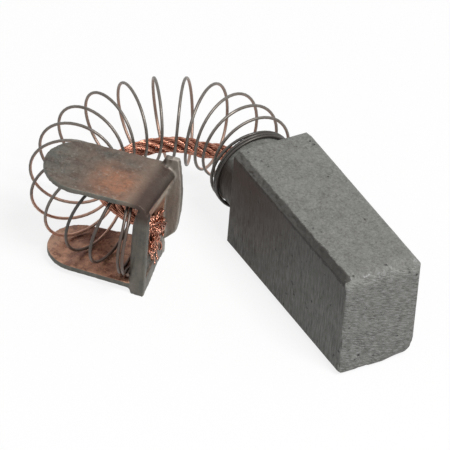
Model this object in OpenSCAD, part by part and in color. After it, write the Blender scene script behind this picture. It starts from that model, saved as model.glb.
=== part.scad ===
// Carbon motor brush: carbon block, spring, copper shunt lead and terminal clip.
// X runs along the block towards its contact face, Y across it, Z up from the
// face that the block lies on. The origin is the middle of that face.

/* [Carbon block] */
// Length of the block along the holder
block_l = 15.6; // [12:0.1:22]
// Width of the block
block_w = 6; // [5.6:0.1:7]
// Height of the block
block_h = 8; // [7:0.1:9]
// Bevel on the four long edges
edge_bevel = 0.4; // [0.1:0.05:0.8]
// Radius worn on the upper edge of the contact face
worn_r = 1; // [0.2:0.1:1.5]
// Radius worn on the lower edge of the contact face
lower_worn_r = 0.4; // [0.1:0.1:1]
// Length of the round neck behind the block
neck_l = 2.6; // [2.2:0.1:3.4]

/* [Tamped joint] */
// Depth of the hole that holds the lead, from the end of the neck
socket_depth = 4.1; // [3:0.1:6]
// Thickness of the tamped powder round the lead
plug_wall = 0.33; // [0.2:0.01:0.6]

/* [Spring] */
// Diameter of the spring wire
wire_d = 0.22; // [0.18:0.01:0.3]
// Outside diameter of the coil
coil_od = 6.2; // [5.8:0.05:6.4]
// Turns gripping the neck
neck_turns = 2.2; // [1.5:0.1:4]
// Spacing of the turns on the neck
neck_pitch = 0.25; // [0.25:0.01:0.5]
// Open turns between the neck and the clip
open_turns = 14.6; // [12:0.1:17]
// Closed turns lying on the floor of the clip
end_turns = 2; // [1:0.1:3]
// How much the middle turns spread, against even spacing
swell = 0.5; // [0:0.05:0.6]
// Step to the side that the first open turn makes off the neck
side_step = 0.9; // [0:0.05:1.2]

/* [Shunt lead] */
// Diameter of one strand of the lead
strand_d = 0.35; // [0.3:0.01:0.38]
// Gap left between neighbouring strands
strand_gap = 0.025; // [0.015:0.005:0.04]
// Length in which the strands make one turn round the core
lay_length = 6; // [5:0.5:12]
// How far the lead lies towards the inside of the bend
lead_inset = 2; // [1.4:0.05:2.1]
// How far the lead sags inside the coil
lead_sag = 0.6; // [0:0.05:0.8]
// Length of the splayed ends beyond the floor of the clip
splay_l = 1.3; // [0.8:0.1:1.8]

/* [Terminal clip] */
// Thickness of the sheet
sheet = 0.45; // [0.3:0.05:0.5]
// Width of the legs and of the floor between the outsides of the flanges
clip_w = 5.4; // [5:0.1:6]
// Gap between the coil and the legs
leg_clearance = 0.05; // [0.02:0.01:0.2]
// Reach of the upper leg, from the inner face of the floor
upper_leg = 7.2; // [6:0.1:9]
// Reach of the lower leg, from the inner face of the floor
lower_leg = 6.7; // [5.5:0.1:8.5]
// Rise of the upper leg towards its tip, where it is sprung open
leg_rise = 0.4; // [0:0.05:0.6]
// How much narrower the lower leg gets towards its tip
leg_taper = 0.5; // [0:0.05:0.8]
// Sideways lean of the legs, in degrees
leg_lean = 8; // [0:0.5:9]
// Inner radius of the bends between floor and legs
bend_r = 0.45; // [0.3:0.05:0.6]
// How far the middle of the floor is pressed in from the bends
dish_depth = 0.7; // [0.3:0.05:0.9]
// Depth of the near flange, from the inner face of the floor
flange_d = 1.25; // [1.1:0.05:1.6]
// Height of each flange
flange_h = 6.9; // [6:0.1:7.4]
// Extra depth of the far flange, at the middle of its bowed rim
rim_bow = 0.4; // [0.1:0.05:0.6]
// How far the far flange stands above the block's upper face
flange_rise = 0.3; // [0:0.05:0.5]
// Distance between the coil's axis and the middle of the clip
coil_offset = 1; // [0:0.1:1.2]
// Gap between the lead and the hole in the floor
hole_clearance = 0.08; // [0.05:0.01:0.2]
// How far the hole in the floor lies above the coil's axis
hole_rise = 0.3; // [0:0.1:0.6]

/* [Hidden] */
$fn = 64;

// Everything lines up on one axis, half way up the block.
axis_z = block_h / 2;
fit_gap = 0.03;                        // sliding gap between pieces that nest

// Route of the coil's axis behind the block, as the free spring happens to lie:
// stretches of [length, turn to the left in degrees].
bend = [[3.4, 14], [5, 54], [5, 39], [5, 39], [4, 45], [4.3, 28]];
run_out = sheet + splay_l + 1;         // straight stretch through the clip
route = concat([[neck_l, 0]], bend, [[run_out, 0]]);

function stretch_end(p, l, turn) =
  let (h = p[3], r = turn == 0 ? 0 : l * 180 / (PI * turn))
  turn == 0
    ? [p[0] + l, p[1] + l * cos(h), p[2] + l * sin(h), h]
    : [p[0] + l, p[1] + r * (sin(h + turn) - sin(h)), p[2] - r * (cos(h + turn) - cos(h)), h + turn];
function walk(i, p) =
  i == len(route) ? [p] : concat([p], walk(i + 1, stretch_end(p, route[i][0], route[i][1])));
stations = walk(0, [0, -block_l / 2, 0, 180]);
floor_s = stations[len(route) - 1][0]; // where the axis meets the clip's floor

function stretch_of(s) =
  max([0, for (i = [0 : len(route) - 1]) if (stations[i][0] <= s) i]);
// [distance, x, y, heading] of the axis at a distance s from the block
function axis_at(s) =
  let (i = stretch_of(s), l = s - stations[i][0])
  stretch_end(stations[i], l, route[i][1] * l / route[i][0]);
function ease(from, to, s) =
  let (u = min(1, max(0, (s - from) / (to - from)))) u * u * (3 - 2 * u);
function left_of(h) = [-sin(h), cos(h), 0];
function unit(v) = v / norm(v);

// Coil
coil_r = (coil_od - wire_d) / 2;
turn_steps = 18;                       // rings of the wire in one turn
neck_r = coil_r * cos(180 / turn_steps) - wire_d / 2 - fit_gap;
first_s = neck_l + 1.3;                // top of the first open turn
neck_s = neck_l - 0.16;                // top of the last turn on the neck
end_pitch = wire_d + 0.015;
closed_s = floor_s - wire_d / 2 - 0.02 - end_turns * end_pitch;
open_pitch = (closed_s - first_s) / open_turns;
function stepped(s) = side_step * ease(neck_l + 0.1, first_s + 0.1, s);
coil_center = function (s)
  let (p = axis_at(s)) [p[1], p[2] + stepped(s), axis_z];
// distance along the axis after n turns, counted from the last top on the neck
function turn_s(n) =
  n <= 0 ? neck_s + n * neck_pitch
  : n <= 1 ? neck_s + n * (first_s - neck_s)
  : n <= 1 + open_turns
    ? first_s + open_pitch * (n - 1) - swell * sin(360 * (n - 1) / open_turns)
  : closed_s + (n - 1 - open_turns) * end_pitch;
function coil_out(n) =
  cos(360 * n) * [0, 0, 1] + sin(360 * n) * left_of(axis_at(turn_s(n))[3]);
function coil_point(n) = coil_center(turn_s(n)) + coil_r * coil_out(n);

// Lead
slant = 2 * PI * strand_d / (0.9 * lay_length);
strand_step = strand_d * sqrt(1 + slant ^ 2) + strand_gap; // from the core to an outer strand
lead_r = strand_step + strand_d / 2;
lead_start = neck_l - socket_depth + 0.1;
settled = neck_l + 5.5;                // where the lead has its full inset and sag
turning = 7;                           // length in which it then turns to the hole
splay_s = floor_s + sheet;             // where the ends leave the floor
lead_end = splay_s + splay_l;
splay_droop = 0.9;                     // how far the splayed ends droop
function lead_center(s) =
  let (h = axis_at(s)[3],
       off_axis = ease(neck_l + 0.4, settled, s),
       to_hole = ease(floor_s - turning, floor_s - 0.3, s),
       aside = (lead_inset - side_step) * off_axis - (lead_inset - coil_offset) * to_hole,
       droop = splay_droop * ease(splay_s, lead_end + 0.4, s),
       drop = lead_sag * off_axis - (hole_rise + lead_sag) * to_hole + droop)
  coil_center(s) - [0, 0, drop] + (stepped(s) + aside) * left_of(h);
straight_stops = 47;                   // rings of a strand up to the floor
splay_stops = 6;
lead_count = straight_stops + splay_stops;
lead_stops = concat(
  [for (i = [0 : straight_stops]) lead_start + (splay_s - lead_start) * i / straight_stops],
  [for (i = [1 : splay_stops]) splay_s + splay_l * i / splay_stops]);
lead_path = [for (s = lead_stops) lead_center(s)];
lead_run = [for (i = 0, sum = 0; i <= lead_count;
  sum = sum + norm(lead_path[min(i + 1, lead_count)] - lead_path[i]), i = i + 1) sum];
// The ends fan out beyond the floor.
fan_side = 0.9;
fan_up = 1.1;
function strand_point(k, i) =
  let (ahead = unit(lead_path[min(i + 1, lead_count)] - lead_path[max(i - 1, 0)]),
       left = unit(cross([0, 0, 1], ahead)),
       fan = ease(splay_s, lead_end, lead_stops[i]),
       a = 360 * lead_run[i] / lay_length + 60 * k,
       r = k == 0 ? 0 : strand_step)
  lead_path[i] + r * cos(a) * (1 + fan_side * fan) * left
    + r * sin(a) * (1 + fan_up * fan) * cross(ahead, left);

// Clip
leg_gap = coil_od + 2 * leg_clearance; // between the legs
clip_h = leg_gap + 2 * sheet;          // over the legs
leg_z = axis_z - clip_h / 2;           // underside of the lower leg
lead_hole_r = lead_r + hole_clearance;
clip_seat = axis_at(floor_s);
clip_at = [clip_seat[1], clip_seat[2] + side_step, 0] + coil_offset * left_of(clip_seat[3]);

// Tube through the points, with its rings turned to the given directions
module tube(points, outs, r, sides) {
  n = len(points);
  tangent = [for (i = [0 : n - 1]) unit(points[min(i + 1, n - 1)] - points[max(i - 1, 0)])];
  rings = [for (i = [0 : n - 1])
    let (side = unit(cross(tangent[i], outs[i])), up = cross(side, tangent[i]))
    for (j = [0 : sides - 1])
      points[i] + r * (cos(360 * j / sides) * up + sin(360 * j / sides) * side)];
  walls = [for (i = [0 : n - 2], j = [0 : sides - 1])
    let (a = i * sides + j, b = i * sides + (j + 1) % sides)
    [a + sides, b + sides, b, a]];
  start = [for (j = [0 : sides - 1]) j];
  end = [for (j = [sides - 1 : -1 : 0]) (n - 1) * sides + j];
  polyhedron(rings, concat(walls, [start, end]), convexity = 10);
}

module carbon_block() {
  color("dimgray") difference() {
    union() {
      intersection() {
        rotate([90, 0, 90]) linear_extrude(block_l, center = true) beveled_section();
        translate([0, block_w / 2, 0]) rotate([90, 0, 0]) linear_extrude(block_w) worn_side();
      }
      translate([-block_l / 2 - neck_l, 0, axis_z]) rotate([0, 90, 0])
        cylinder(r = neck_r, h = neck_l + 1);
    }
    translate([-block_l / 2 - neck_l - 1, 0, axis_z]) rotate([0, 90, 0])
      cylinder(r = lead_r + fit_gap + plug_wall, h = socket_depth + 1);
  }
}

module beveled_section() {
  w = block_w / 2;
  b = edge_bevel;
  polygon([[-w, b], [b - w, 0], [w - b, 0], [w, b],
    [w, block_h - b], [w - b, block_h], [b - w, block_h], [-w, block_h - b]]);
}

// Side view of the block, with the edges of the contact face worn round
module worn_side() {
  x = block_l / 2;
  difference() {
    translate([-x, 0]) square([block_l, block_h]);
    translate([x - worn_r, block_h - worn_r]) difference() {
      square(worn_r + 1);
      circle(worn_r);
    }
    translate([x - lower_worn_r, lower_worn_r]) difference() {
      translate([0, -lower_worn_r - 1]) square(lower_worn_r + 1);
      circle(lower_worn_r);
    }
  }
}

module tamping_plug() {
  plug_l = socket_depth - fit_gap;
  color("sienna") translate([-block_l / 2 - neck_l, 0, axis_z]) rotate([0, 90, 0]) difference() {
    cylinder(r = lead_r + plug_wall, h = plug_l);
    translate([0, 0, -1]) cylinder(r = lead_r + fit_gap, h = plug_l + 2);
  }
}

module spring() {
  turns = [for (n = [-neck_turns : 1 / turn_steps : 1 + open_turns + end_turns]) n];
  color("slategray")
    tube([for (n = turns) coil_point(n)], [for (n = turns) coil_out(n)], wire_d / 2, 6);
}

module lead_strand(k) {
  color("chocolate")
    tube([for (i = [0 : lead_count]) strand_point(k, i)],
      [for (i = [0 : lead_count]) [0, 0, 1]], strand_d / 2, 6);
}

// The clip in its own frame: X out of the floor, Y across, middle of the floor at X = 0
module terminal_clip() {
  w = clip_w / 2;
  low_bend = leg_z + sheet + bend_r;
  high_bend = leg_z + clip_h - sheet - bend_r;
  color("rosybrown") translate(clip_at) rotate(clip_seat[3]) difference() {
    union() {
      intersection() {
        translate([0, clip_w, 0]) rotate([90, 0, 0]) linear_extrude(2 * clip_w) leg_profile();
        union() {
          linear_extrude(low_bend) leg_plan(lower_leg, leg_taper);
          translate([0, 0, low_bend]) linear_extrude(high_bend - low_bend) floor_plan();
          translate([0, 0, high_bend]) linear_extrude(block_h) leg_plan(upper_leg, 0);
        }
      }
      intersection() {
        linear_extrude(2 * block_h) floor_plan();
        union() {
          translate([0, sheet - w, 0]) rotate([90, 0, 0]) linear_extrude(sheet) near_flange();
          translate([0, w, block_h + flange_rise - flange_h]) rotate([90, 0, 0])
            linear_extrude(sheet) far_flange();
        }
      }
    }
    translate([-1, 0, axis_z + hole_rise]) rotate([0, 90, 0])
      cylinder(r = lead_hole_r, h = sheet + 2);
  }
}

// Floor and legs seen from the side: a U whose floor is pressed in between its bends,
// with a lip under the lower bend and the upper leg sprung open
module leg_profile() {
  half = leg_gap / 2;
  reach = upper_leg + 1;
  rise = leg_rise * reach / upper_leg;
  crest = dish_depth + sheet;
  dish_r = (half ^ 2 + dish_depth ^ 2) / (2 * dish_depth);
  translate([0, axis_z]) {
    difference() {
      rounded_bar(-0.5, crest, half + sheet, bend_r + sheet);
      translate([dish_r, 0]) circle(dish_r - sheet, $fn = 120);
      difference() {
        rounded_bar(-1.5, dish_depth, half, bend_r);
        translate([dish_r, 0]) circle(dish_r, $fn = 120);
      }
    }
    polygon([[-0.4, -half - sheet], [-0.4, -half], [-reach, -half], [-reach, -half - sheet]]);
    polygon([[-0.4, half], [-0.4, half + sheet],
      [-reach, half + sheet + rise], [-reach, half + rise]]);
  }
  polygon([[crest - bend_r - 0.4, leg_z], [crest - 0.6, 0], [crest + 0.05, 0],
    [crest + 0.05, leg_z + 0.4], [crest, leg_z + bend_r + sheet], [crest - 0.4, leg_z + bend_r]]);
}

module rounded_bar(start, end, half, r) {
  translate([start, -half]) square([end - r - start, 2 * half]);
  translate([start, r - half]) square([end - start, 2 * (half - r)]);
  for (y = [r - half, half - r]) translate([end - r, y]) circle(r);
}

// Outline of one leg from above, with its round end
module leg_plan(reach, taper) {
  w = clip_w / 2;
  r = w - taper / 2;
  tip = reach - r;                     // middle of the round end
  y = taper / 2 - tip * tan(leg_lean);
  front = dish_depth + sheet + 0.1;
  translate([-tip, y]) circle(r);
  polygon([[front, -w], [front, w], [-0.3, w], [-tip, y + r], [-tip, y - r], [-0.3, -w]]);
}

// Outline of the floor and flanges from above, with rounded rear corners
module floor_plan() {
  w = clip_w / 2;
  front = flange_d + rim_bow + 0.1;
  translate([0, sheet - w]) square([front, clip_w - 2 * sheet]);
  translate([sheet, -w]) square([front - sheet, clip_w]);
  for (y = [sheet - w, w - sheet]) translate([sheet, y]) circle(sheet);
}

module near_flange() {
  polygon([[0, 0.65], [0.3, 0], [flange_d, 0], [flange_d, flange_h], [0.35, flange_h],
    [0, flange_h - 1.4]]);
}

module far_flange() {
  bow_r = ((flange_h / 2) ^ 2 + rim_bow ^ 2) / (2 * rim_bow);
  polygon([[0, 1.4], [0.35, 0], [flange_d, 0], [flange_d, flange_h], [0.3, flange_h],
    [0, flange_h - 0.65]]);
  intersection() {
    translate([flange_d + rim_bow - bow_r, flange_h / 2]) circle(bow_r, $fn = 180);
    translate([flange_d - 0.1, 0]) square([rim_bow + 0.2, flange_h]);
  }
}

carbon_block();
tamping_plug();
spring();
terminal_clip();
for (k = [0 : 6])
  lead_strand(k);
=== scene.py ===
import math
import random

import bpy
import numpy as np
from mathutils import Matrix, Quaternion, Vector, noise


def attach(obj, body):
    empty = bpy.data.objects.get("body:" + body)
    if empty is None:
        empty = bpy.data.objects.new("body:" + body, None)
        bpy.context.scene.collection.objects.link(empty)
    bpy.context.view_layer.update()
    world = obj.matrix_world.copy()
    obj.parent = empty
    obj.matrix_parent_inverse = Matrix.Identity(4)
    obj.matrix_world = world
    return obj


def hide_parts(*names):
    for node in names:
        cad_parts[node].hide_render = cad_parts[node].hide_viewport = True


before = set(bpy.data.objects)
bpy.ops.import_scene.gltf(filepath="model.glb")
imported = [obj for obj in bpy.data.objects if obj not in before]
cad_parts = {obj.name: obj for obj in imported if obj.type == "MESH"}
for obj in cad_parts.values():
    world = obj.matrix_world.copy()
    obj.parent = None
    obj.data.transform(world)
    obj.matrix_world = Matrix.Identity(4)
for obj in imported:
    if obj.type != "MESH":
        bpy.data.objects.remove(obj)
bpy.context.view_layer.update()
mm = 0.001                              # lengths below are in millimetres unless noted
noiseRange = (0.3, 0.7)                 # most of a noise lies between these
print("frame loaded")

# camera
cameraSetup = {
    "azimuth": 58.56,                   # degrees
    "elevation": 37.56,
    "roll": 4.82,
    "aim": (-8.62, -2.76, 1.08),        # point in the middle of the frame
    "distance": 420.0,
    "frameWidth": 30.87,                # what the frame takes in at that distance
    "sensor": 36.0,
    "nearest": 10.0,                    # what lies nearer or farther isn't drawn
    "farthest": 10000.0,
}


def addCamera(setup):
    az = math.radians(setup["azimuth"])
    el = math.radians(setup["elevation"])
    back = Vector((math.sin(az) * math.cos(el), -math.cos(az) * math.cos(el), math.sin(el)))
    bpy.ops.object.camera_add(location=(Vector(setup["aim"]) + back * setup["distance"]) * mm)
    cam = bpy.context.object
    cam.name = "viewCamera"
    cam.rotation_mode = "QUATERNION"
    level = (-back).to_track_quat("-Z", "Y")
    cam.rotation_quaternion = level @ Quaternion((0, 0, 1), math.radians(setup["roll"]))
    cam.data.sensor_width = setup["sensor"]
    cam.data.lens = setup["sensor"] * setup["distance"] / setup["frameWidth"]
    cam.data.clip_start = setup["nearest"] * mm
    cam.data.clip_end = setup["farthest"] * mm
    bpy.context.scene.camera = cam


addCamera(cameraSetup)


# small helpers for shapes
def ease(start, end, s):
    # 0 at the start, 1 at the end, smooth between
    u = min(1, max(0, (s - start) / (end - start)))
    return u * u * (3 - 2 * u)


def blendTo(first, second, share):
    return first + (second - first) * share


def fading(distance, reach):
    # 1 at no distance, 0 from the reach on
    return max(0.0, 1 - distance / reach)


def layered(p, layers):
    # noises over each other, each given as scale and share
    return sum(share * noise.noise(p * scale) for scale, share in layers)


def selectOnly(*objects):
    bpy.ops.object.select_all(action="DESELECT")
    for o in objects:
        o.select_set(True)
    bpy.context.view_layer.objects.active = objects[0]


def applyAll(piece):
    selectOnly(piece)
    for m in list(piece.modifiers):
        bpy.ops.object.modifier_apply(modifier=m.name)


def mergePoints(distance):
    # merges the active piece's points and leaves it in edit mode, all selected
    bpy.ops.object.mode_set(mode="EDIT")
    bpy.ops.mesh.select_all(action="SELECT")
    bpy.ops.mesh.remove_doubles(threshold=distance * mm)


def tubesFromPaths(name, paths, radius, roundness, smoothAngle=50):
    # one curve with a spline for each path, turned into a mesh
    data = bpy.data.curves.new(name, "CURVE")
    data.dimensions = "3D"
    for path in paths:
        spline = data.splines.new("POLY")
        spline.points.add(len(path) - 1)
        spline.points.foreach_set("co", [c for p in path for c in (*(p * mm), 1)])
    data.bevel_depth = radius * mm
    data.bevel_resolution = roundness
    data.use_fill_caps = True
    piece = bpy.data.objects.new(name, data)
    bpy.context.collection.objects.link(piece)
    selectOnly(piece)
    bpy.ops.object.convert(target="MESH")
    piece = bpy.context.object
    mergePoints(0.0001)
    bpy.ops.mesh.normals_make_consistent(inside=False)
    bpy.ops.object.mode_set(mode="OBJECT")
    bpy.ops.object.shade_smooth_by_angle(angle=math.radians(smoothAngle))
    return piece


def copyOfNode(node, name, flatAngle=1):
    # the node's shape as a new, merged mesh
    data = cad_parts[node].data.copy()
    data.materials.clear()
    piece = bpy.data.objects.new(name, data)
    bpy.context.collection.objects.link(piece)
    selectOnly(piece)
    mergePoints(0.002)
    bpy.ops.mesh.dissolve_limited(angle_limit=math.radians(flatAngle))
    bpy.ops.object.mode_set(mode="OBJECT")
    return piece


def addFineSkin(piece, grid):
    # an even mesh that can be worn and chipped
    remesh = piece.modifiers.new("fineSkin", "REMESH")
    remesh.mode = "VOXEL"
    remesh.voxel_size = grid * mm


def finishPiece(piece, material, slotName, *nodes):
    piece.data.materials.clear()
    piece.data.materials.append(material)
    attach(piece, "root")
    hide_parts(*nodes)
    print(piece.name, "made,", len(piece.data.polygons), "faces")


# small helpers for materials
def newMaterial(name):
    material = bpy.data.materials.new(name)
    material.use_nodes = True
    tree = material.node_tree
    return material, tree, tree.nodes["Principled BSDF"]


def addNode(tree, kind, inputs=None, **settings):
    node = tree.nodes.new(kind)
    for key, value in settings.items():
        setattr(node, key, value)
    for key, value in (inputs or {}).items():
        if isinstance(value, bpy.types.NodeSocket):
            tree.links.new(value, node.inputs[key])
        else:
            node.inputs[key].default_value = value
    return node


def objectPoint(tree, scale=(1, 1, 1), turn=(0, 0, 0), move=(0, 0, 0)):
    # object coordinates in millimetres, moved, turned and stretched
    coords = addNode(tree, "ShaderNodeTexCoord").outputs["Object"]
    moved = addNode(tree, "ShaderNodeMapping", {
        "Vector": coords, "Location": move, "Rotation": turn, "Scale": (1 / mm,) * 3})
    return addNode(tree, "ShaderNodeMapping", {
        "Vector": moved.outputs[0], "Scale": scale}).outputs[0]


def partsOf(tree, vector):
    return addNode(tree, "ShaderNodeSeparateXYZ", {"Vector": vector}).outputs[:3]


def facingParts(tree):
    return partsOf(tree, addNode(tree, "ShaderNodeTexCoord").outputs["Normal"])


def markOf(tree, name):
    # a mark stored on the mesh
    return addNode(tree, "ShaderNodeAttribute", attribute_name=name).outputs["Fac"]


def noiseValue(tree, vector, scale, detail, roughness):
    return addNode(tree, "ShaderNodeTexNoise", {
        "Vector": vector, "Scale": scale, "Detail": detail, "Roughness": roughness}).outputs["Fac"]


def spread(tree, value, low, high, toLow=0.0, toHigh=1.0):
    return addNode(tree, "ShaderNodeMapRange", {
        "Value": value, "From Min": low, "From Max": high,
        "To Min": toLow, "To Max": toHigh}).outputs[0]


def window(tree, value, low, high, soft):
    # 1 between low and high, fading over a length
    return times(tree, spread(tree, value, low - soft, low + soft),
                 spread(tree, value, high + soft, high - soft))


def combine(tree, operation, a, b=0.0):
    return addNode(tree, "ShaderNodeMath", {0: a, 1: b}, operation=operation).outputs[0]


def plus(tree, a, b):
    return combine(tree, "ADD", a, b)


def times(tree, *values):
    product = values[0]
    for value in values[1:]:
        product = combine(tree, "MULTIPLY", product, value)
    return product


def mixColor(tree, share, first, second, blend="MIX"):
    node = addNode(tree, "ShaderNodeMix", data_type="RGBA", blend_type=blend)
    sockets = (node.inputs[0], node.inputs[6], node.inputs[7])
    for socket, value in zip(sockets, (share, first, second)):
        if isinstance(value, bpy.types.NodeSocket):
            tree.links.new(value, socket)
        else:
            socket.default_value = value
    return node.outputs[2]


def lay(tree, under, color, mask, amount):
    # a colour over what lies under it, where the mask is 1
    return mixColor(tree, times(tree, mask, amount), under, color)


def addBump(tree, shader, height, distance, strength=1.0):
    bump = addNode(tree, "ShaderNodeBump", {
        "Height": height, "Distance": distance * mm, "Strength": strength})
    tree.links.new(bump.outputs[0], shader.inputs["Normal"])


def grey(v):
    return (v, v, v, 1)


# carbon block; a noise is given as its scale, detail and roughness, and a span as where
# something starts and is full, with the values it has there unless they are 0 and 1
blockSetup = {
    "half": (7.8, 3.0, 4.0),            # half its length, width and height
    "neckFrom": 0.05,                   # past this behind the block nothing is chipped
    "grid": 0.1,                        # fineness of its mesh
    "chip": 0.1,                        # deepest chips along the edges
    "chipReach": 0.4,
    "chipNoise": ((1.1, 1.0), (3.7, 0.6)),
    "chipFrom": 0.15,                   # noise up to this leaves the edge whole
    "chipGain": 1.8,
    "tear": 0.08,                       # unevenness of the near upper edge
    "tearReach": 0.45,
    "tearNoise": ((2.9, 1.0), (6.1, 0.7), (11.3, 0.5)),
    "tearBase": 0.35,
    "edgeInset": (0.1, 0.2),            # where that edge's bevel lies: from the side, from the top
    "edgeReach": 0.6,                   # how far the bevel's dark colour spreads
    "edgeStop": 0.3,                    # and where it ends before the contact face
    "unevenness": 0.012,
    "unevenScale": 0.8,
    "nearCorner": 0.2,                  # radii worn on the contact face's corners
    "farCorner": 0.45,
    "lowFarCorner": 0.85,
    "cornerFar": (-0.5, 2.2),           # where the far radius takes over, across
    "cornerLow": (1.5, 0.3),            # and the low one, in height
    "farTaper": 0.13,                   # how much the far side falls in towards the contact face
    "rubInset": (0.35, 0.25),           # where the upper front edge is rubbed bright
    "rubReach": 0.5,
    "nearRubReach": 0.35,
    "nearRub": 0.5,                     # how bright the near edge is beside the upper one
    "dark": (0.07, 0.07, 0.063, 1),
    "pale": (0.29, 0.29, 0.272, 1),
    "pit": grey(0.035),
    "scuff": grey(0.5),
    "brown": (0.068, 0.045, 0.034, 1),
    "edge": (0.042, 0.038, 0.034, 1),
    "shade": (0.1, 0.096, 0.088, 1),
    "roughness": (0.7, 0.5),            # in the dark marks and on the pale ones
    "specular": 0.3,
    "relief": (0.06, 0.9),              # depth and strength
    "sideStretch": (4.0, 0.4, 0.3),     # grinding marks on the long sides
    "sideMarks": (2.4, 5, 0.85),
    "endStretch": (0.5, 0.6, 4.0),      # scratches on the contact face
    "endMarks": (2.8, 6, 0.9),
    "scratchAngle": 20,                 # their slope in degrees
    "grain": (5.0, 6, 0.85),
    "cloud": (0.5, 4, 0.6),
    "blotch": (1.7, 4, 0.65),
    "speckle": (3.2, 5, 0.8),
    "wornPatches": (0.9, 4, 0.7),
    "rubbing": (2.2, 6, 0.85),
    "blotchShare": 0.25,                # how much the blotches soften the marks
    "poreScale": 1.7,
    "poreWobble": 0.12,                 # how far the pores are from round
    "poreWobbleScale": 4.0,
    "poreClusters": (0.8, 3, 0.6),
    "poreDepth": 2.0,
    "tearSpeckle": 0.7,                 # how much the speckle breaks up the dark bevel
    "span": {
        "endFacing": (0.6, 0.8),
        "sideFacing": (0.75, 0.9),
        "sideMarks": (0.17, 0.83),
        "endMarks": (0.22, 0.78),
        "marks": (0.36, 0.63),
        "wornPatches": (0.5, 0.7),
        "endScuffs": (0.48, 0.64, 0, 0.55),
        "sideScuffs": (0.54, 0.7, 0, 0.16),
        "cloud": (0.3, 0.75, 0.0, 0.3),
        "speckle": (0.56, 0.7, 0.0, 0.5),
        "pore": (0.2, 0.1),             # distance from a pore's middle
        "poreClusters": (0.53, 0.58),
        "shadeUp": (4.0, 7.6),          # heights between which the long sides darken
        "brownAlong": (2.5, -5.0),      # where they turn brown towards the neck
        "brownUp": (1.0, 6.5, 0.25, 1.0),
        "edge": (1.13, 1.3),
        "edgeAlong": (-7.0, 4.0, 0.6, 1.0),
        "rubbing": (0.55, 0.66),
    },
    "amount": {"worn": 0.75, "shade": 0.65, "pit": 0.85, "edge": 0.9},
}


def makeCarbon(setup):
    material, tree, shader = newMaterial("groundCarbon")
    span, amount = setup["span"], setup["amount"]
    point = objectPoint(tree)
    facing = facingParts(tree)
    along, _, up = partsOf(tree, point)
    onEnd = spread(tree, combine(tree, "ABSOLUTE", facing[0]), *span["endFacing"])
    onSide = spread(tree, combine(tree, "ABSOLUTE", facing[1]), *span["sideFacing"])
    # grinding marks: upright on the long sides, across on the ends, plain grain on top
    sidePoint = objectPoint(tree, setup["sideStretch"])
    sideLines = noiseValue(tree, sidePoint, *setup["sideMarks"])
    endPoint = objectPoint(tree, setup["endStretch"], (math.radians(setup["scratchAngle"]), 0, 0))
    endLines = noiseValue(tree, endPoint, *setup["endMarks"])
    grain = noiseValue(tree, point, *setup["grain"])
    blotch = noiseValue(tree, point, *setup["blotch"])
    lines = plus(tree, times(tree, spread(tree, sideLines, *span["sideMarks"]), onSide),
                 times(tree, spread(tree, endLines, *span["endMarks"]), onEnd))
    flat = combine(tree, "SUBTRACT", 1.0, combine(tree, "MAXIMUM", onEnd, onSide))
    marks = plus(tree, lines, times(tree, flat, grain))
    share = setup["blotchShare"]
    marks = plus(tree, times(tree, marks, 1 - share), times(tree, blotch, share))
    tone = mixColor(tree, spread(tree, marks, *span["marks"]), setup["dark"], setup["pale"])
    # the contact face is rubbed paler in patches, with bright scratches
    worn = noiseValue(tree, point, *setup["wornPatches"])
    worn = times(tree, onEnd, spread(tree, worn, *span["wornPatches"]))
    tone = lay(tree, tone, setup["pale"], worn, amount["worn"])
    bright = plus(tree, times(tree, onEnd, spread(tree, endLines, *span["endScuffs"])),
                  times(tree, onSide, spread(tree, sideLines, *span["sideScuffs"])))
    tone = mixColor(tree, bright, tone, setup["scuff"])
    cloud = noiseValue(tree, point, *setup["cloud"])
    tone = mixColor(tree, spread(tree, cloud, *span["cloud"]), tone, setup["pale"])
    speckle = noiseValue(tree, point, *setup["speckle"])
    tone = mixColor(tree, spread(tree, speckle, *span["speckle"]), tone, setup["dark"])
    # the long sides are darker towards the top and brown towards the neck
    above = times(tree, spread(tree, up, *span["shadeUp"]), onSide)
    tone = lay(tree, tone, setup["shade"], above, amount["shade"])
    brown = times(tree, spread(tree, along, *span["brownAlong"]), onSide,
                  spread(tree, up, *span["brownUp"]))
    tone = mixColor(tree, brown, tone, setup["brown"])
    # small open pores in clusters
    wobble = addNode(tree, "ShaderNodeTexNoise", {
        "Vector": point, "Scale": setup["poreWobbleScale"]})
    pores = addNode(tree, "ShaderNodeTexVoronoi", {
        "Vector": mixColor(tree, setup["poreWobble"], point, wobble.outputs["Color"], "ADD"),
        "Scale": setup["poreScale"], "Randomness": 1.0})
    clusters = noiseValue(tree, point, *setup["poreClusters"])
    pore = times(tree, spread(tree, pores.outputs["Distance"], *span["pore"]),
                 spread(tree, clusters, *span["poreClusters"]))
    tone = lay(tree, tone, setup["pit"], pore, amount["pit"])
    # rough dark bevel on the near upper edge, bright rubbed corners at the contact face
    tear = plus(tree, blotch, times(tree, speckle, setup["tearSpeckle"]))
    band = times(tree, spread(tree, plus(tree, markOf(tree, "ragged"), tear), *span["edge"]),
                 spread(tree, along, *span["edgeAlong"]))
    tone = lay(tree, tone, setup["edge"], band, amount["edge"])
    rub = spread(tree, noiseValue(tree, point, *setup["rubbing"]), *span["rubbing"])
    tone = mixColor(tree, times(tree, markOf(tree, "wear"), rub), tone, setup["scuff"])
    tree.links.new(tone, shader.inputs["Base Color"])
    rough = spread(tree, marks, *noiseRange, *setup["roughness"])
    tree.links.new(rough, shader.inputs["Roughness"])
    shader.inputs["Specular IOR Level"].default_value = setup["specular"]
    height = combine(tree, "SUBTRACT", marks, times(tree, pore, setup["poreDepth"]))
    addBump(tree, shader, height, *setup["relief"])
    return material


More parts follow.
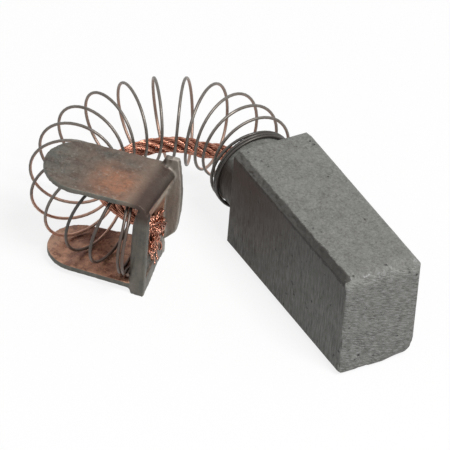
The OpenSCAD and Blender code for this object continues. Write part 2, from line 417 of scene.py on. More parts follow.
def wornInward(p, setup):
    # how far a point moves in to give the worn corners of the contact face
    hx, hy, _ = setup["half"]
    low = ease(*setup["cornerLow"], p.z)
    far = ease(*setup["cornerFar"], p.y)
    r = blendTo(setup["nearCorner"], setup["farCorner"], far)
    r += (setup["lowFarCorner"] - setup["farCorner"]) * far * low
    u = max(0.0, r - (hx - p.x))
    v = max(0.0, r - (hy - abs(p.y)))
    w = max(0.0, r - p.z)
    d = math.sqrt(u * u + v * v + w * w)
    if u == 0 or v + w == 0 or d <= r:
        return Vector((0, 0, 0))
    return Vector((-u, -v if p.y > 0 else v, w)) * ((d - r) / d)


def edgeCloseness(p, setup):
    # 1 on an edge of the block, 0 away from all of them and on the neck
    hx, hy, hz = setup["half"]
    if p.x < -hx - setup["neckFrom"]:
        return 0.0
    gaps = sorted((abs(hx - p.x), hy - abs(p.y), hz - abs(p.z - hz)))
    return fading(max(0.0, gaps[1]), setup["chipReach"])


def rubbedBright(p, setup):
    # 1 where the contact face's upper and near edges are rubbed
    hx, hy, hz = setup["half"]
    fromEnd, fromTop = setup["rubInset"]
    upper = fading(math.hypot(p.x - hx + fromEnd, p.z - 2 * hz + fromTop), setup["rubReach"])
    near = fading(math.hypot(p.x - hx, p.y + hy), setup["nearRubReach"]) * setup["nearRub"]
    return max(upper, near)


def makeBlock(setup):
    piece = copyOfNode("carbon_block", "carbonBlock")
    addFineSkin(piece, setup["grid"])
    applyAll(piece)
    mesh = piece.data
    hx, hy, hz = setup["half"]
    fromSide, fromTop = setup["edgeInset"]
    wear = mesh.attributes.new("wear", "FLOAT", "POINT")
    ragged = mesh.attributes.new("ragged", "FLOAT", "POINT")
    normals = [v.normal.copy() for v in mesh.vertices]
    for v, n in zip(mesh.vertices, normals):
        p = v.co / mm
        wear.data[v.index].value = rubbedBright(p, setup)
        toEdge = math.hypot(p.y + hy - fromSide, p.z - 2 * hz + fromTop)
        if -hx < p.x < hx - setup["edgeStop"]:
            ragged.data[v.index].value = fading(toEdge, setup["edgeReach"])
        # small chips along all edges, a torn bevel on one, and a slight unevenness
        chip = max(0.0, layered(p, setup["chipNoise"]) - setup["chipFrom"])
        depth = edgeCloseness(p, setup) * min(1.0, setup["chipGain"] * chip) * setup["chip"]
        if p.x > -hx:
            rough = setup["tearBase"] + layered(p, setup["tearNoise"])
            depth += fading(toEdge, setup["tearReach"]) * setup["tear"] * rough
        depth += setup["unevenness"] * (0.5 + 0.5 * noise.noise(p * setup["unevenScale"]))
        p = p - n * depth + wornInward(p, setup)
        if p.y > 0 and p.x > -hx:
            p.y -= setup["farTaper"] * (p.x + hx) / (2 * hx) * p.y / hy
        v.co = p * mm
    selectOnly(piece)
    bpy.ops.object.shade_smooth()
    return piece


finishPiece(makeBlock(blockSetup), makeCarbon(blockSetup), "carbon", "carbon_block")

# tamped powder round the lead; it keeps its own shape
plugSetup = {
    "dark": (0.12, 0.06, 0.035, 1),
    "pale": (0.32, 0.16, 0.09, 1),
    "grain": (7.0, 5, 0.8),
    "grainSpan": (0.4, 0.65),
    "grainDepth": 0.04,
    "roughness": 0.8,
    "metallic": 0.3,
}


def makePowder(setup):
    material, tree, shader = newMaterial("tampedPowder")
    grain = noiseValue(tree, objectPoint(tree), *setup["grain"])
    tone = mixColor(tree, spread(tree, grain, *setup["grainSpan"]), setup["dark"], setup["pale"])
    tree.links.new(tone, shader.inputs["Base Color"])
    shader.inputs["Roughness"].default_value = setup["roughness"]
    shader.inputs["Metallic"].default_value = setup["metallic"]
    addBump(tree, shader, grain, setup["grainDepth"])
    return material


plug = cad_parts["tamping_plug"]
plug.data.materials.clear()
plug.data.materials.append(makePowder(plugSetup))
print("plug finished")

# spring: one wire on a bent axis, from the neck to the clip's floor
springSetup = {
    "backFace": -7.8,                   # where the block ends
    "axisHeight": 4.0,
    "neckLength": 2.6,
    # length of each stretch of the bent axis, and its turn in degrees
    "bend": [(3.4, 14), (5, 54), (5, 39), (5, 39), (4, 45), (4.3, 28)],
    "runOut": 4.0,
    "wire": 0.22,
    "coilOutside": 6.2,
    "neckTurns": 2.2,
    "neckPitch": 0.25,
    "neckMargin": 0.16,                 # from the last gripping turn to the neck's end
    "firstOpen": 1.3,                   # and from there to the first open turn
    "openTurns": 14.6,
    "swell": 0.5,                       # how far the open turns spread in the middle
    "sideStep": 0.9,                    # how far the coil shifts sideways after the neck
    "stepMargin": 0.1,
    "endTurns": 2.0,
    "endGap": 0.015,                    # between the closed turns
    "floorGap": 0.02,                   # and between them and the clip
    "endLean": 0.5,                     # how far the end turns lean past the floor's near edge
    "leanLength": 2.0,
    "leanSide": (0.2, 1.0),
    "stepsPerTurn": 44,
    "roundness": 3,
    "reflectingSide": (-0.1, 0.7),           # how far round the wire the painted copper reflection reaches
    "nearClip": (11.0, 6.0),            # distances from the floor in which the painted copper reflection grows
    "atFloor": (2.5, 1.0),
    "reflectionHeight": (4.2, 2.0),           # lower turns take more of it
    "reflectionAway": (3.2, 1.2),             # distances from the lead in which it turns copper
    "steel": (0.19, 0.17, 0.15, 1),
    "dark": (0.12, 0.103, 0.09, 1),
    "grip": (0.05, 0.046, 0.042, 1),
    # painted copper reflection of the lead and the clip on the coil's inside
    "paintedReflection": (0.34, 0.22, 0.17, 1),
    "paintedCopperReflection": (0.85, 0.5, 0.37, 1),
    "paintedClipReflection": 0.9,                    # how strong the painted reflection is near the clip
    "paintedFloorReflection": 0.6,                   # and at its floor
    "gripAlong": (-10.7, -10.3, 0, 0.85),
    "darkPatches": (1.4, 4, 0.6),
    "darkSpan": (0.3, 0.6),
    "reflectionPatches": (0.6, 4, 0.65),
    "reflectionSpan": (0.3, 0.6, 0.45, 1.0),
    "smears": (6.0, 3, 0.6),
    "drawing": (9.0, 3, 0.6),
    "drawingDepth": 0.006,
    "metallic": 0.6,
    "roughness": (0.3, 0.5),
}


def stretchEnd(start, length, turn):
    s, x, y, heading = start
    a, b = math.radians(heading), math.radians(heading + turn)
    if abs(turn) < 1e-9:                # a straight stretch
        return s + length, x + length * math.cos(a), y + length * math.sin(a), heading
    r = length / math.radians(turn)
    x += r * (math.sin(b) - math.sin(a))
    return s + length, x, y - r * (math.cos(b) - math.cos(a)), heading + turn


def makeStations(setup):
    # distance, X, Y and heading where each stretch of the axis starts
    route = [(setup["neckLength"], 0)] + setup["bend"] + [(setup["runOut"], 0)]
    stations = [(0.0, setup["backFace"], 0.0, 180.0)]
    for length, turn in route:
        stations.append(stretchEnd(stations[-1], length, turn))
    return route, stations


route, stations = makeStations(springSetup)
floorDistance = stations[len(route) - 1][0]


def axisAt(s):
    i = max(j for j in range(len(route)) if j == 0 or stations[j][0] <= s)
    length = s - stations[i][0]
    return stretchEnd(stations[i], length, route[i][1] * length / route[i][0])


def leftOf(heading):
    return Vector((-math.sin(math.radians(heading)), math.cos(math.radians(heading)), 0))


coilRadius = (springSetup["coilOutside"] - springSetup["wire"]) / 2
firstDistance = springSetup["neckLength"] + springSetup["firstOpen"]
lastNeckDistance = springSetup["neckLength"] - springSetup["neckMargin"]
endPitch = springSetup["wire"] + springSetup["endGap"]
closedDistance = (floorDistance - springSetup["wire"] / 2 - springSetup["floorGap"]
                  - springSetup["endTurns"] * endPitch)
openPitch = (closedDistance - firstDistance) / springSetup["openTurns"]


def stepped(s):
    margin = springSetup["stepMargin"]
    return springSetup["sideStep"] * ease(
        springSetup["neckLength"] + margin, firstDistance + margin, s)


def coilCentre(s):
    _, x, y, _ = axisAt(s)
    return Vector((x, y + stepped(s), springSetup["axisHeight"]))


def turnDistance(n):
    # how far along the axis the n-th turn lies; the neck's turns are below 0
    turns = springSetup["openTurns"]
    if n <= 0:
        return lastNeckDistance + n * springSetup["neckPitch"]
    if n <= 1:
        return lastNeckDistance + n * (firstDistance - lastNeckDistance)
    if n <= 1 + turns:
        wave = math.sin(2 * math.pi * (n - 1) / turns)
        return firstDistance + openPitch * (n - 1) - springSetup["swell"] * wave
    return closedDistance + (n - 1 - turns) * endPitch


def coilPoint(n):
    s = turnDistance(n)
    a = 2 * math.pi * n
    heading = axisAt(s)[3]
    out = Vector((0, 0, 1)) * math.cos(a) + leftOf(heading) * math.sin(a)
    lean = springSetup["endLean"] * ease(*springSetup["leanSide"], -math.sin(a))
    lean *= ease(closedDistance - springSetup["leanLength"], closedDistance, s)
    return coilCentre(s) + out * coilRadius + leftOf(heading - 90) * lean


def makeSpringWire(setup):
    material, tree, shader = newMaterial("springWire")
    point = objectPoint(tree)
    patches = noiseValue(tree, point, *setup["darkPatches"])
    tone = mixColor(tree, spread(tree, patches, *setup["darkSpan"]), setup["dark"], setup["steel"])
    # painted reflection: the inside of the coil is tinted copper, most near the lead and in the
    # clip
    patches = noiseValue(tree, point, *setup["reflectionPatches"])
    share = times(tree, markOf(tree, "inner"), spread(tree, patches, *setup["reflectionSpan"]))
    paintedReflection = mixColor(tree, markOf(tree, "copperReflectionShare"), setup["paintedReflection"], setup["paintedCopperReflection"])
    tone = mixColor(tree, share, tone, paintedReflection)
    # the turns gripping the neck are blackened
    along = partsOf(tree, point)[0]
    tone = mixColor(tree, spread(tree, along, *setup["gripAlong"]), tone, setup["grip"])
    tree.links.new(tone, shader.inputs["Base Color"])
    shader.inputs["Metallic"].default_value = setup["metallic"]
    smears = noiseValue(tree, point, *setup["smears"])
    rough = spread(tree, smears, *noiseRange, *setup["roughness"])
    tree.links.new(rough, shader.inputs["Roughness"])
    addBump(tree, shader, noiseValue(tree, point, *setup["drawing"]), setup["drawingDepth"])
    return material


def makeSpring(setup):
    first = -setup["neckTurns"]
    last = 1 + setup["openTurns"] + setup["endTurns"]
    count = int((last - first) * setup["stepsPerTurn"])
    turns = [first + (last - first) * i / count for i in range(count + 1)]
    path = [coilPoint(n) for n in turns]
    piece = tubesFromPaths("coilSpring", [path], setup["wire"] / 2, setup["roundness"])
    # which side of the wire looks into the coil, and where the painted reflection of the lead and
    # clip falls on it
    wire = np.array(path)
    inward = np.array([(coilCentre(turnDistance(n)) - q).normalized() for n, q in zip(turns, path)])
    leads = np.array([leadCentre(turnDistance(n)) for n in turns])
    inner = piece.data.attributes.new("inner", "FLOAT", "POINT")
    copperReflectionShare = piece.data.attributes.new("copperReflectionShare", "FLOAT", "POINT")
    for v in piece.data.vertices:
        p = np.array(v.co) / mm
        nearest = int(np.argmin(((wire - p) ** 2).sum(axis=1)))
        facing = float(np.dot(p - wire[nearest], inward[nearest])) / (setup["wire"] / 2)
        s = turnDistance(turns[nearest])
        inClip, atFloor = (ease(floorDistance - start, floorDistance - end, s)
                           for start, end in (setup["nearClip"], setup["atFloor"]))
        low = ease(*setup["reflectionHeight"], p[2])
        away = np.linalg.norm(leads - p, axis=1).min()
        inner.data[v.index].value = max(
            ease(*setup["reflectingSide"], facing), setup["paintedClipReflection"] * inClip * low,
            setup["paintedFloorReflection"] * atFloor)
        copperReflectionShare.data[v.index].value = max(inClip, ease(*setup["reflectionAway"], away))
    return piece


# terminal clip; its own directions are along, out of its floor, across and up
clipSetup = {
    "sheet": 0.45,
    "coilOffset": 1.0,                  # how far its middle lies beside the coil's axis
    "holeRise": 0.3,                    # how far its hole lies above that axis
    "floorHalf": 3.15,                  # half height of the dished part of the floor
    "floorDish": 0.7,
    "grid": 0.085,
    "softening": 4,                     # smoothing passes over the worn edges
    "softness": 0.5,
    "unevenness": 0.03,
    "unevenScale": 0.9,
    "lipLean": 0.6,                     # how far the lip falls back at its far end
    "lipAlong": (0.3, 1.1),
    "lipAcross": (-2.7, 2.7),
    "lipUp": (2.4, 1.2),
    "farFlange": 2.1,                   # the far flange starts here and leans out at its top
    "farTop": (7.0, 8.1),
    "farLean": 0.5,
    "grey": (0.18, 0.16, 0.135, 1),
    "green": (0.098, 0.1, 0.086, 1),
    "dark": (0.045, 0.038, 0.034, 1),
    "plum": (0.062, 0.036, 0.028, 1),
    "tan": (0.176, 0.122, 0.092, 1),
    "copper": (0.38, 0.17, 0.094, 1),
    "rim": (0.15, 0.158, 0.135, 1),
    # brown of the lower leg's inside, made lighter as painted light
    "brown": (0.62, 0.33, 0.21, 1),
    "deep": (0.2, 0.088, 0.058, 1),
    "bright": (0.75, 0.7, 0.6, 1),
    "pale": (0.42, 0.38, 0.33, 1),
    # painted shadow on the lower leg's inside, and painted light at its tip
    "paintedShadow": (0.13, 0.05, 0.034, 1),
    "tip": (0.62, 0.43, 0.33, 1),
    "paintedSheen": (0.24, 0.168, 0.124, 1),
    "broad": (0.5, 5, 0.7),
    "middle": (1.3, 6, 0.75),
    "fine": (5.0, 5, 0.75),
    "streaks": (0.9, 5, 0.7),
    "streakStretch": (3.0, 3.0, 0.5),
    "dirt": (1.2, 5, 0.75),
    "bareSpots": (2.8, 5, 0.8),
    "broadDepth": 2.0,                  # share of the broad noise in the dents
    "dents": (0.03, 0.7),               # depth and strength
    "metallic": 0.55,
    "roughness": (0.4, 0.62),
    "innerRoughness": (0.2, 0.42),
    # windows on the sheet: from, to and softness
    "tanAlong": (-5.2, 0.0, 1.2),
    "copperAlong": (-3.2, -0.1, 0.8),
    "copperAcross": (-2.6, 0.3, 0.9),
    "paintedSheenAlong": (-0.8, 0.2, 0.3),
    "bendAlong": (0.0, 2.0, 0.35),
    "rimFacing": (0.3, 0.8, 0.15),
    "paintedShadowAlong": (-5.2, -0.8, 1.0),
    "channelAlong": (0.42, 1.25, 0.04),
    "channelAcross": (-2.2, 2.2, 0.04),
    "channelUp": (2.2, 6.6, 0.3),
    "glintUp": (5.2, 6.3, 0.3),
    "span": {
        "topUp": (6.6, 7.0),
        "topFacing": (0.6, 0.85),
        "clouds": (0.4, 0.6),
        "plum": (0.5, 0.6),
        "tan": (0.3, 0.55),
        "copper": (0.34, 0.56, 0.35, 1.0),
        "dirt": (0.48, 0.62),
        "bareSpots": (0.56, 0.68),
        "paintedSheen": (0.25, 0.45, 0.5, 1.0),
        "bendUp": (5.8, 6.6),
        "bendAcross": (2.6, -1.0, 0.5, 1.0),
        "rimEnd": (0.0, -0.6),
        "lowUp": (1.3, 1.0),
        "lowFacing": (0.3, 0.7),
        "rustAndPaintedLight": (0.36, 0.6),
        "paintedShadow": (0.42, 0.6),
        "tipAlong": (-5.2, -7.2),
        "glintAcross": (-0.6, 1.2),
        "farAcross": (2.15, 2.25),
        "farAlong": (0.3, 0.5),
        "farStreaks": (0.3, 0.6, 0.5, 1.0),
        "darkGrain": (0.5, 0.8, 0, 0.4),
        "inner": (0.35, 0.65),          # of the noise that makes the inside smoother or rougher
    },
    "amount": {
        "plum": 0.7, "tan": 0.85, "copper": 0.9, "dirt": 0.45, "bareSpots": 0.45,
        "paintedSheen": 0.5, "bend": 0.9, "rim": 0.7, "rustAndPaintedLight": 0.95, "paintedShadow": 0.85, "tip": 0.5,
        "channel": 0.85, "glint": 0.85, "farFlange": 0.85,
    },
}
clipHeading = axisAt(floorDistance)[3]
clipPlace = coilCentre(floorDistance) + leftOf(clipHeading) * clipSetup["coilOffset"]


def clipFrame(p):
    h = math.radians(clipHeading)
    q = p - Vector((clipPlace.x, clipPlace.y, 0))
    return q.x * math.cos(h) + q.y * math.sin(h), q.y * math.cos(h) - q.x * math.sin(h), p.z


def fromClipFrame(along, across, up):
    h = math.radians(clipHeading)
    return Vector((clipPlace.x + along * math.cos(h) - across * math.sin(h),
                   clipPlace.y + along * math.sin(h) + across * math.cos(h), up))


def floorOutside(up):
    # how far out the dished floor reaches at a height
    half, dish = clipSetup["floorHalf"], clipSetup["floorDish"]
    r = (half ** 2 + dish ** 2) / (2 * dish)
    return r - math.sqrt((r - clipSetup["sheet"]) ** 2 - (up - springSetup["axisHeight"]) ** 2)


def makeClipSheet(setup):
    material, tree, shader = newMaterial("tarnishedSheet")
    turn = -math.radians(clipHeading)
    c, s = math.cos(turn), math.sin(turn)
    x, y = clipPlace.x, clipPlace.y
    place = {"turn": (0, 0, turn), "move": (-(x * c - y * s), -(x * s + y * c), 0)}
    span, amount = setup["span"], setup["amount"]
    point = objectPoint(tree, **place)
    along, across, up = partsOf(tree, point)
    facingUp = facingParts(tree)[2]
    broad = noiseValue(tree, point, *setup["broad"])
    middle = noiseValue(tree, point, *setup["middle"])
    fine = noiseValue(tree, point, *setup["fine"])
    stretched = objectPoint(tree, setup["streakStretch"], **place)
    streaks = noiseValue(tree, stretched, *setup["streaks"])
    clouds = times(tree, plus(tree, broad, streaks), 0.5)
    tone = mixColor(tree, spread(tree, clouds, *span["clouds"]), setup["green"], setup["grey"])
    # the upper leg: plum stains, tan, a copper patch, dirt and bare spots
    high = spread(tree, up, *span["topUp"])
    top = times(tree, high, spread(tree, facingUp, *span["topFacing"]))
    stains = times(tree, top, spread(tree, middle, *span["plum"]))
    tone = lay(tree, tone, setup["plum"], stains, amount["plum"])
    warm = times(tree, window(tree, along, *setup["tanAlong"]),
                 spread(tree, broad, *span["tan"]))
    tone = lay(tree, tone, setup["tan"], times(tree, top, warm), amount["tan"])
    patch = times(tree, window(tree, along, *setup["copperAlong"]),
                  window(tree, across, *setup["copperAcross"]), top,
                  spread(tree, middle, *span["copper"]))
    tone = lay(tree, tone, setup["copper"], patch, amount["copper"])
    dirt = spread(tree, noiseValue(tree, point, *setup["dirt"]), *span["dirt"])
    tone = lay(tree, tone, setup["plum"], times(tree, top, dirt), amount["dirt"])
    bare = spread(tree, noiseValue(tree, point, *setup["bareSpots"]), *span["bareSpots"])
    tone = lay(tree, tone, setup["pale"], times(tree, top, bare), amount["bareSpots"])
    # painted sheen just before the bend, painted shade in plum on the bend, and a pale rim along
    # the leg
    paintedSheen = times(tree, window(tree, along, *setup["paintedSheenAlong"]), high,
                 spread(tree, broad, *span["paintedSheen"]))
    tone = lay(tree, tone, setup["paintedSheen"], paintedSheen, amount["paintedSheen"])
    # painted shade: the bend darkened in plum where it turns away from the light
    bend = times(tree, window(tree, along, *setup["bendAlong"]),
                 spread(tree, up, *span["bendUp"]), spread(tree, across, *span["bendAcross"]))
    tone = lay(tree, tone, setup["plum"], bend, amount["bend"])
    rim = times(tree, window(tree, facingUp, *setup["rimFacing"]), high,
                spread(tree, along, *span["rimEnd"]))
    tone = lay(tree, tone, setup["rim"], rim, amount["rim"])
    # brown inside of the lower leg, its tarnish lightened as painted light against the upper leg's
    # shade, with patches of painted shadow and painted light at its open tip
    lowIn = times(tree, spread(tree, up, *span["lowUp"]),
                  spread(tree, facingUp, *span["lowFacing"]))
    rustAndPaintedLight = mixColor(tree, spread(tree, middle, *span["rustAndPaintedLight"]), setup["deep"], setup["brown"])
    tone = lay(tree, tone, rustAndPaintedLight, lowIn, amount["rustAndPaintedLight"])
    # painted shadow in patches on the lower leg's inside, and painted light at its open tip
    paintedShadow = times(tree, window(tree, along, *setup["paintedShadowAlong"]),
                  spread(tree, broad, *span["paintedShadow"]))
    tone = lay(tree, tone, setup["paintedShadow"], times(tree, lowIn, paintedShadow), amount["paintedShadow"])
    tip = times(tree, lowIn, spread(tree, along, *span["tipAlong"]))
    tone = lay(tree, tone, setup["tip"], tip, amount["tip"])
    # brown channel between the flanges, bright near its top; the far flange is pale
    channel = times(tree, window(tree, along, *setup["channelAlong"]),
                    window(tree, across, *setup["channelAcross"]))
    inside = window(tree, up, *setup["channelUp"])
    tone = lay(tree, tone, rustAndPaintedLight, times(tree, channel, inside), amount["channel"])
    glint = times(tree, window(tree, up, *setup["glintUp"]),
                  spread(tree, across, *span["glintAcross"]))
    tone = lay(tree, tone, setup["bright"], times(tree, channel, glint), amount["glint"])
    farFlange = times(tree, spread(tree, across, *span["farAcross"]),
                      spread(tree, along, *span["farAlong"]),
                      spread(tree, streaks, *span["farStreaks"]))
    tone = lay(tree, tone, setup["pale"], farFlange, amount["farFlange"])
    tone = mixColor(tree, spread(tree, fine, *span["darkGrain"]), tone, setup["dark"])
    tree.links.new(tone, shader.inputs["Base Color"])
    shader.inputs["Metallic"].default_value = setup["metallic"]
    rough = mixColor(tree, lowIn, spread(tree, fine, *noiseRange, *setup["roughness"]),
                     spread(tree, middle, *span["inner"], *setup["innerRoughness"]))
    tree.links.new(rough, shader.inputs["Roughness"])
    height = plus(tree, fine, times(tree, broad, setup["broadDepth"]))
    addBump(tree, shader, height, *setup["dents"])
    return material


def makeClip(setup):
    piece = copyOfNode("terminal_clip", "terminalClip")
    addFineSkin(piece, setup["grid"])
    soft = piece.modifiers.new("wornEdges", "SMOOTH")
    soft.factor = setup["softness"]
    soft.iterations = setup["softening"]
    applyAll(piece)
    lipStart, lipEnd = setup["lipAlong"]
    normals = [v.normal.copy() for v in piece.data.vertices]
    for v, n in zip(piece.data.vertices, normals):
        p = v.co / mm
        p = p - n * setup["unevenness"] * (0.5 + 0.5 * noise.noise(p * setup["unevenScale"]))
        along, across, up = clipFrame(p)
        if along > lipStart:
            back = setup["lipLean"] * ease(*setup["lipAcross"], across) * ease(*setup["lipUp"], up)
            along -= back * ease(lipStart, lipEnd, along)
            if across > setup["farFlange"]:
                along = max(along, lipStart + setup["farLean"] * ease(*setup["farTop"], up))
            p = fromClipFrame(along, across, up)
        v.co = p * mm
    selectOnly(piece)
    bpy.ops.object.shade_smooth()
    return piece


# lead: a core bundle and six round it, of fine wires that fray in the clip's channel
leadSetup = {
    "outer": 6,                         # bundles round the core
    "strand": 0.35,                     # thickness of a bundle
    "gap": 0.025,
    "lay": 6.0,                         # length in which the bundles turn once
    "tightLay": 0.9,                    # share of it that is left in the bend
    "inset": 2.0,                       # how far it keeps to the inner side of the bend
    "sag": 0.6,
    "leaving": (0.4, 5.5),              # distances from the neck in which it leaves the middle
    "turning": (7.0, 0.3),              # and from the clip in which it turns to the hole
    "rising": (8.5, 2.0),               # and lifts to it
    "socket": 4.1,
    "socketGap": 0.1,
    "wire": 0.114,                      # one fine wire
    "rings": (1, 6),                    # wires in the middle and round it
    "bundleLay": 4.2,
    "packing": (1.02, 0.18),            # how far the outer wires lie out, and how much that varies
    "packingNoise": (1.4, 3.1, 5.7),    # steps along the lead, between wires and between bundles
    "loose": 0.03,                      # how far a bundle wanders from its place
    "looseNoise": (0.9, 7.3),           # steps along the lead and between bundles
    "sides": 2,
    "steps": 120,
    "seed": 7,
    "frayTop": (1.7, 4.35),             # middle of the cut ends: across, up
    "frayFoot": (-0.25, 1.3),
    "frayWidth": (0.25, 1.05),          # half width at the top and lower down
    "frayWiden": 0.45,                  # share of the way down at which it is widest
    "frayOut": (0.1, 0.5),
    "frayOutBy": 0.4,                   # share of a wire's length in which it comes out
    "frayTips": (-0.2, 0.05),           # how far the tips bend in or out
    "frayTipFrom": 0.7,
    "fraySteps": 44,
    "frayCurl": 0.11,                   # how wide the cut ends curl
    "frayCurlGrows": (0.05, 0.3),
    "frayPhase": (0, 6.3),
    "frayLoops": (14, 30),              # how tightly they curl
    "fraySidePace": 0.63,
    "frayClear": 0.09,                  # how far they stay off the floor outside the hole
    "holeRadius": 0.3,
    "bright": (0.69, 0.36, 0.26, 1),
    "deep": (0.25, 0.09, 0.053, 1),
    "tarnish": (2.2, 4, 0.6),
    "tarnishSpan": (0.35, 0.65),
    "smears": (5.0, 3, 0.6),
    "drawing": (12.0, 2, 0.5),
    "drawingDepth": 0.004,
    "metallic": 1.0,
    "roughness": (0.18, 0.36),
}
slant = 2 * math.pi * leadSetup["strand"] / (leadSetup["tightLay"] * leadSetup["lay"])
strandStep = leadSetup["strand"] * math.sqrt(1 + slant ** 2) + leadSetup["gap"]
leadFrom = springSetup["neckLength"] - leadSetup["socket"] + leadSetup["socketGap"]
leadTo = floorDistance + clipSetup["sheet"]


def leadCentre(s):
    neck, inset, sag = springSetup["neckLength"], leadSetup["inset"], leadSetup["sag"]
    leaveStart, leaveEnd = leadSetup["leaving"]
    offAxis = ease(neck + leaveStart, neck + leaveEnd, s)
    toHole, risen = (ease(floorDistance - start, floorDistance - end, s)
                     for start, end in (leadSetup["turning"], leadSetup["rising"]))
    aside = (inset - springSetup["sideStep"]) * offAxis
    aside -= (inset - clipSetup["coilOffset"]) * toHole
    drop = sag * offAxis - (clipSetup["holeRise"] + sag) * risen
    return coilCentre(s) - Vector((0, 0, drop)) + leftOf(axisAt(s)[3]) * (stepped(s) + aside)


def leadFrames(count):
    # points along the lead with their left and upper sides and the length so far
    path = [leadCentre(leadFrom + (leadTo - leadFrom) * i / count) for i in range(count + 1)]
    run, frames = 0.0, []
    for i in range(count + 1):
        if i:
            run += (path[i] - path[i - 1]).length
        ahead = (path[min(i + 1, count)] - path[max(i - 1, 0)]).normalized()
        left = Vector((0, 0, 1)).cross(ahead).normalized()
        frames.append((path[i], left, ahead.cross(left), run))
    return frames


def cutEnd(start, setup, chance):
    # a wire's frayed end: out of the hole, then curled down into the channel
    along, across, up = clipFrame(start)
    down = chance.uniform(0, 1)
    (topAcross, topUp), (footAcross, footUp) = setup["frayTop"], setup["frayFoot"]
    toAcross = blendTo(topAcross, footAcross, down)
    width = blendTo(*setup["frayWidth"], ease(0, setup["frayWiden"], down))
    toAcross += chance.uniform(-1, 1) * width
    toUp = blendTo(topUp, footUp, down)
    out = chance.uniform(*setup["frayOut"])
    phase = chance.uniform(*setup["frayPhase"])
    tips = chance.uniform(*setup["frayTips"])
    pace = chance.uniform(*setup["frayLoops"])
    path = []
    for i in range(1, setup["fraySteps"] + 1):
        t = i / setup["fraySteps"]
        curl = setup["frayCurl"] * ease(*setup["frayCurlGrows"], t)
        a = blendTo(across, toAcross, ease(0, 1, t)) + curl * math.sin(pace * t + phase)
        z = blendTo(up, toUp, ease(0, 1, t)) + curl * math.cos(pace * t + phase)
        x = along + out * ease(0, setup["frayOutBy"], t) + tips * ease(setup["frayTipFrom"], 1, t)
        x += curl * math.sin(setup["fraySidePace"] * pace * t)
        if math.hypot(a, z - up) > setup["holeRadius"]:
            x = max(x, floorOutside(z) + setup["frayClear"])
        path.append(fromClipFrame(x, a, z))
    return path


def bundlePaths(k, setup, frames, chance):
    # the wires of one bundle, twisted in it and with it; bundle 0 is the core
    paths = []
    least, varied = setup["packing"]
    alongStep, wireStep, bundleStep = setup["packingNoise"]
    looseStep, looseBundle = setup["looseNoise"]
    wires = [(ring, j, count) for ring, count in enumerate(setup["rings"]) for j in range(count)]
    for ring, j, count in wires:
        path = []
        for centre, left, up, run in frames:
            a = math.radians(360 * run / setup["lay"] + 360 / setup["outer"] * k)
            sway = setup["loose"] * noise.noise(Vector((run * looseStep, looseBundle * k, 0)))
            r = (strandStep + sway) if k else sway
            b = 2 * math.pi * (j / count - run / setup["bundleLay"])
            wander = noise.noise(Vector((run * alongStep, wireStep * j, bundleStep * k)))
            q = ring * setup["wire"] * (least + varied * wander)
            p = centre + left * (r * math.cos(a)) + up * (r * math.sin(a))
            path.append(p + left * (q * math.cos(b)) + up * (q * math.sin(b)))
        paths.append(path + cutEnd(path[-1], setup, chance))
    return paths


def makeCopper(setup):
    material, tree, shader = newMaterial("brightCopper")
    point = objectPoint(tree)
    tarnish = noiseValue(tree, point, *setup["tarnish"])
    tone = mixColor(tree, spread(tree, tarnish, *setup["tarnishSpan"]),
                    setup["deep"], setup["bright"])
    tree.links.new(tone, shader.inputs["Base Color"])
    shader.inputs["Metallic"].default_value = setup["metallic"]
    smears = noiseValue(tree, point, *setup["smears"])
    rough = spread(tree, smears, *noiseRange, *setup["roughness"])
    tree.links.new(rough, shader.inputs["Roughness"])
    addBump(tree, shader, noiseValue(tree, point, *setup["drawing"]), setup["drawingDepth"])
    return material


def makeLead(setup):
    copper = makeCopper(setup)
    chance = random.Random(setup["seed"])
    frames = leadFrames(setup["steps"])
    for k in range(setup["outer"] + 1):
        piece = tubesFromPaths("leadBundle%d" % (k + 1), bundlePaths(k, setup, frames, chance),
                               setup["wire"] / 2, setup["sides"])
        finishPiece(piece, copper, "copper_strand", "lead_strand_%d" % (k + 1))


finishPiece(makeSpring(springSetup), makeSpringWire(springSetup), "spring_wire", "spring")
finishPiece(makeClip(clipSetup), makeClipSheet(clipSetup), "clip_sheet", "terminal_clip")
makeLead(leadSetup)

# floor and light
studioSetup = {
    "floorSide": 3000.0,
    "floorDrop": 0.02,                  # keeps the floor just under the part
    "floorTone": 0.4,                   # the floor as the object sees it
    "floorSeen": 0.97,                  # and as the camera does
    "floorGlow": 0.84,                  # share of plain white in what the camera sees
    "floorRoughness": 0.9,
    "floorSpecular": 0.1,
    "sky": 0.3,                         # brightness of the world as the object sees it
    "keyPower": 3.1,
    "keyPlace": (322, 63, 497),
    "keySize": 230,
}


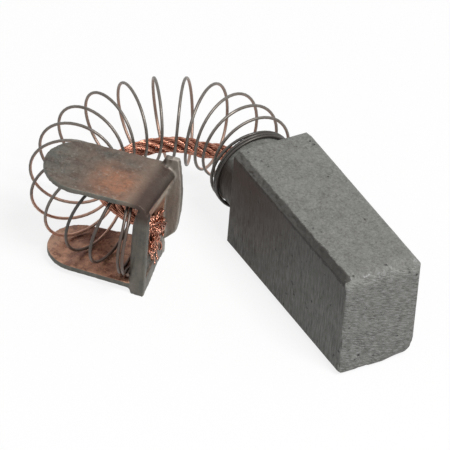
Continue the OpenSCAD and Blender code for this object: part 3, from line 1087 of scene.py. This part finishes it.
def seenDirectly(tree):
    path = addNode(tree, "ShaderNodeLightPath")
    seen = combine(tree, "MAXIMUM", path.outputs["Is Camera Ray"], path.outputs["Is Glossy Ray"])
    return combine(tree, "MAXIMUM", seen, path.outputs["Is Transmission Ray"])


def addFloor(setup):
    bpy.ops.mesh.primitive_plane_add(size=setup["floorSide"] * mm, location=(0, 0, 0))
    floor = bpy.context.object
    floor.name = "studioFloor"
    floor.location.z = -setup["floorDrop"] * mm
    material, tree, shader = newMaterial("paleFloor")
    seen = seenDirectly(tree)
    tone = mixColor(tree, seen, grey(setup["floorTone"]), grey(setup["floorSeen"]))
    tree.links.new(tone, shader.inputs["Base Color"])
    shader.inputs["Roughness"].default_value = setup["floorRoughness"]
    shader.inputs["Specular IOR Level"].default_value = setup["floorSpecular"]
    glow = addNode(tree, "ShaderNodeEmission", {"Color": grey(1), "Strength": 1.0})
    blend = addNode(tree, "ShaderNodeMixShader", {
        0: times(tree, seen, setup["floorGlow"]), 1: shader.outputs[0], 2: glow.outputs[0]})
    tree.links.new(blend.outputs[0], tree.nodes["Material Output"].inputs["Surface"])
    floor.data.materials.append(material)


def addKeyLight(setup):
    bpy.ops.object.light_add(type="AREA", location=Vector(setup["keyPlace"]) * mm)
    lamp = bpy.context.object
    lamp.name = "keyLight"
    lamp.data.energy = setup["keyPower"]
    lamp.data.size = setup["keySize"] * mm
    aim = Vector(cameraSetup["aim"]) * mm - lamp.location
    lamp.rotation_euler = aim.to_track_quat("-Z", "Y").to_euler()


def addWorld(setup):
    world = bpy.data.worlds.new("studioWorld")
    bpy.context.scene.world = world
    world.use_nodes = True
    tree = world.node_tree
    sky = setup["sky"]
    strength = plus(tree, times(tree, seenDirectly(tree), 1.0 - sky), sky)
    background = tree.nodes["Background"]
    background.inputs["Color"].default_value = grey(1)
    tree.links.new(strength, background.inputs["Strength"])


addFloor(studioSetup)
addKeyLight(studioSetup)
addWorld(studioSetup)
bpy.context.scene.view_settings.view_transform = "Standard"
print("studio made")
